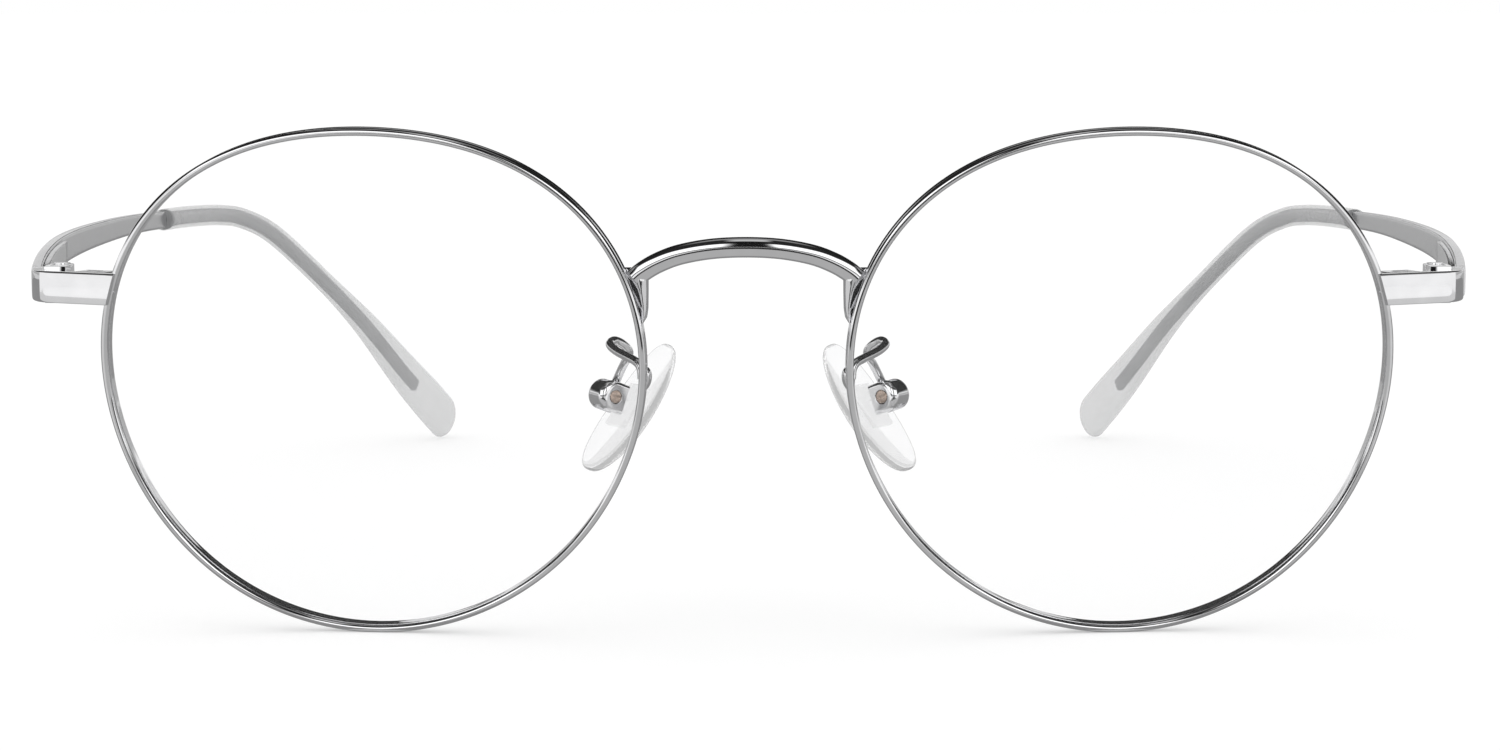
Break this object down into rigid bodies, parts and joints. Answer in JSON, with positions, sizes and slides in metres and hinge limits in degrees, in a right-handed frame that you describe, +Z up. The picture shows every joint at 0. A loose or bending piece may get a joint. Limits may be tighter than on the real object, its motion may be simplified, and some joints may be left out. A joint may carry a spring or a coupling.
{
  "type": "round wire eyeglasses",
  "caption": "Round polished wire eyeglasses with an arched bridge, clear adjustable nose pads, swept-back end pieces and folding temples with clear moulded tips.",
  "frame": {"origin": "middle of the footprint, on the table the glasses stand on when open", "axes": "+X towards the wearer's left, +Y from the lenses back along the temples, +Z up; the glasses look along -Y"},
  "size_m": [0.1434, 0.1512, 0.0487],
  "materials": {
    "polished_metal": "polished silver-coloured plating",
    "clear_lens": "clear, coated against reflections",
    "clear_silicone": "clear soft silicone",
    "clear_insert": "clear hard plastic",
    "frosted_tip": "clear grey moulded plastic with a soft gloss",
    "bronze_screw": "bright bronze"
  },
  "bodies": {
    "front": {"bridge": "polished_metal", "left_rim": "polished_metal", "left_lens": "clear_lens", "left_end_piece": "polished_metal", "left_lock_upper": "polished_metal", "left_lock_lower": "polished_metal", "left_lock_screw": "polished_metal", "left_hinge_front": "polished_metal", "left_hinge_screw": "polished_metal", "left_pad_arm": "polished_metal", "left_pad_box": "polished_metal", "left_pad_screw": "bronze_screw", "right_rim": "polished_metal", "right_lens": "clear_lens", "right_end_piece": "polished_metal", "right_lock_upper": "polished_metal", "right_lock_lower": "polished_metal", "right_lock_screw": "polished_metal", "right_hinge_front": "polished_metal", "right_hinge_screw": "polished_metal", "right_pad_arm": "polished_metal", "right_pad_box": "polished_metal", "right_pad_screw": "bronze_screw"},
    "left_temple_arm": {"left_temple": "polished_metal", "left_hinge_temple": "polished_metal", "left_temple_tip": "frosted_tip"},
    "left_pad": {"left_nose_pad": "clear_silicone", "left_pad_insert": "clear_insert"},
    "right_temple_arm": {"right_temple": "polished_metal", "right_hinge_temple": "polished_metal", "right_temple_tip": "frosted_tip"},
    "right_pad": {"right_nose_pad": "clear_silicone", "right_pad_insert": "clear_insert"}
  },
  "joints": [
    {"name": "left_temple_fold", "type": "hinge", "parent": "front", "child": "left_temple_arm", "pos_m": [0.0663, -0.0612, 0.03325], "axis": [0, 0, 1], "range_deg": [0, 82]},
    {"name": "right_temple_fold", "type": "hinge", "parent": "front", "child": "right_temple_arm", "pos_m": [-0.0663, -0.0612, 0.03325], "axis": [0, 0, -1], "range_deg": [0, 76]},
    {"name": "left_pad_rock", "type": "hinge", "parent": "front", "child": "left_pad", "pos_m": [0.01365, -0.06092, 0.02216], "axis": [0.5878, 0.809, 0], "range_deg": [-12, 12]},
    {"name": "right_pad_rock", "type": "hinge", "parent": "front", "child": "right_pad", "pos_m": [-0.01365, -0.06092, 0.02216], "axis": [-0.5878, 0.809, 0], "range_deg": [-12, 12]}
  ]
}
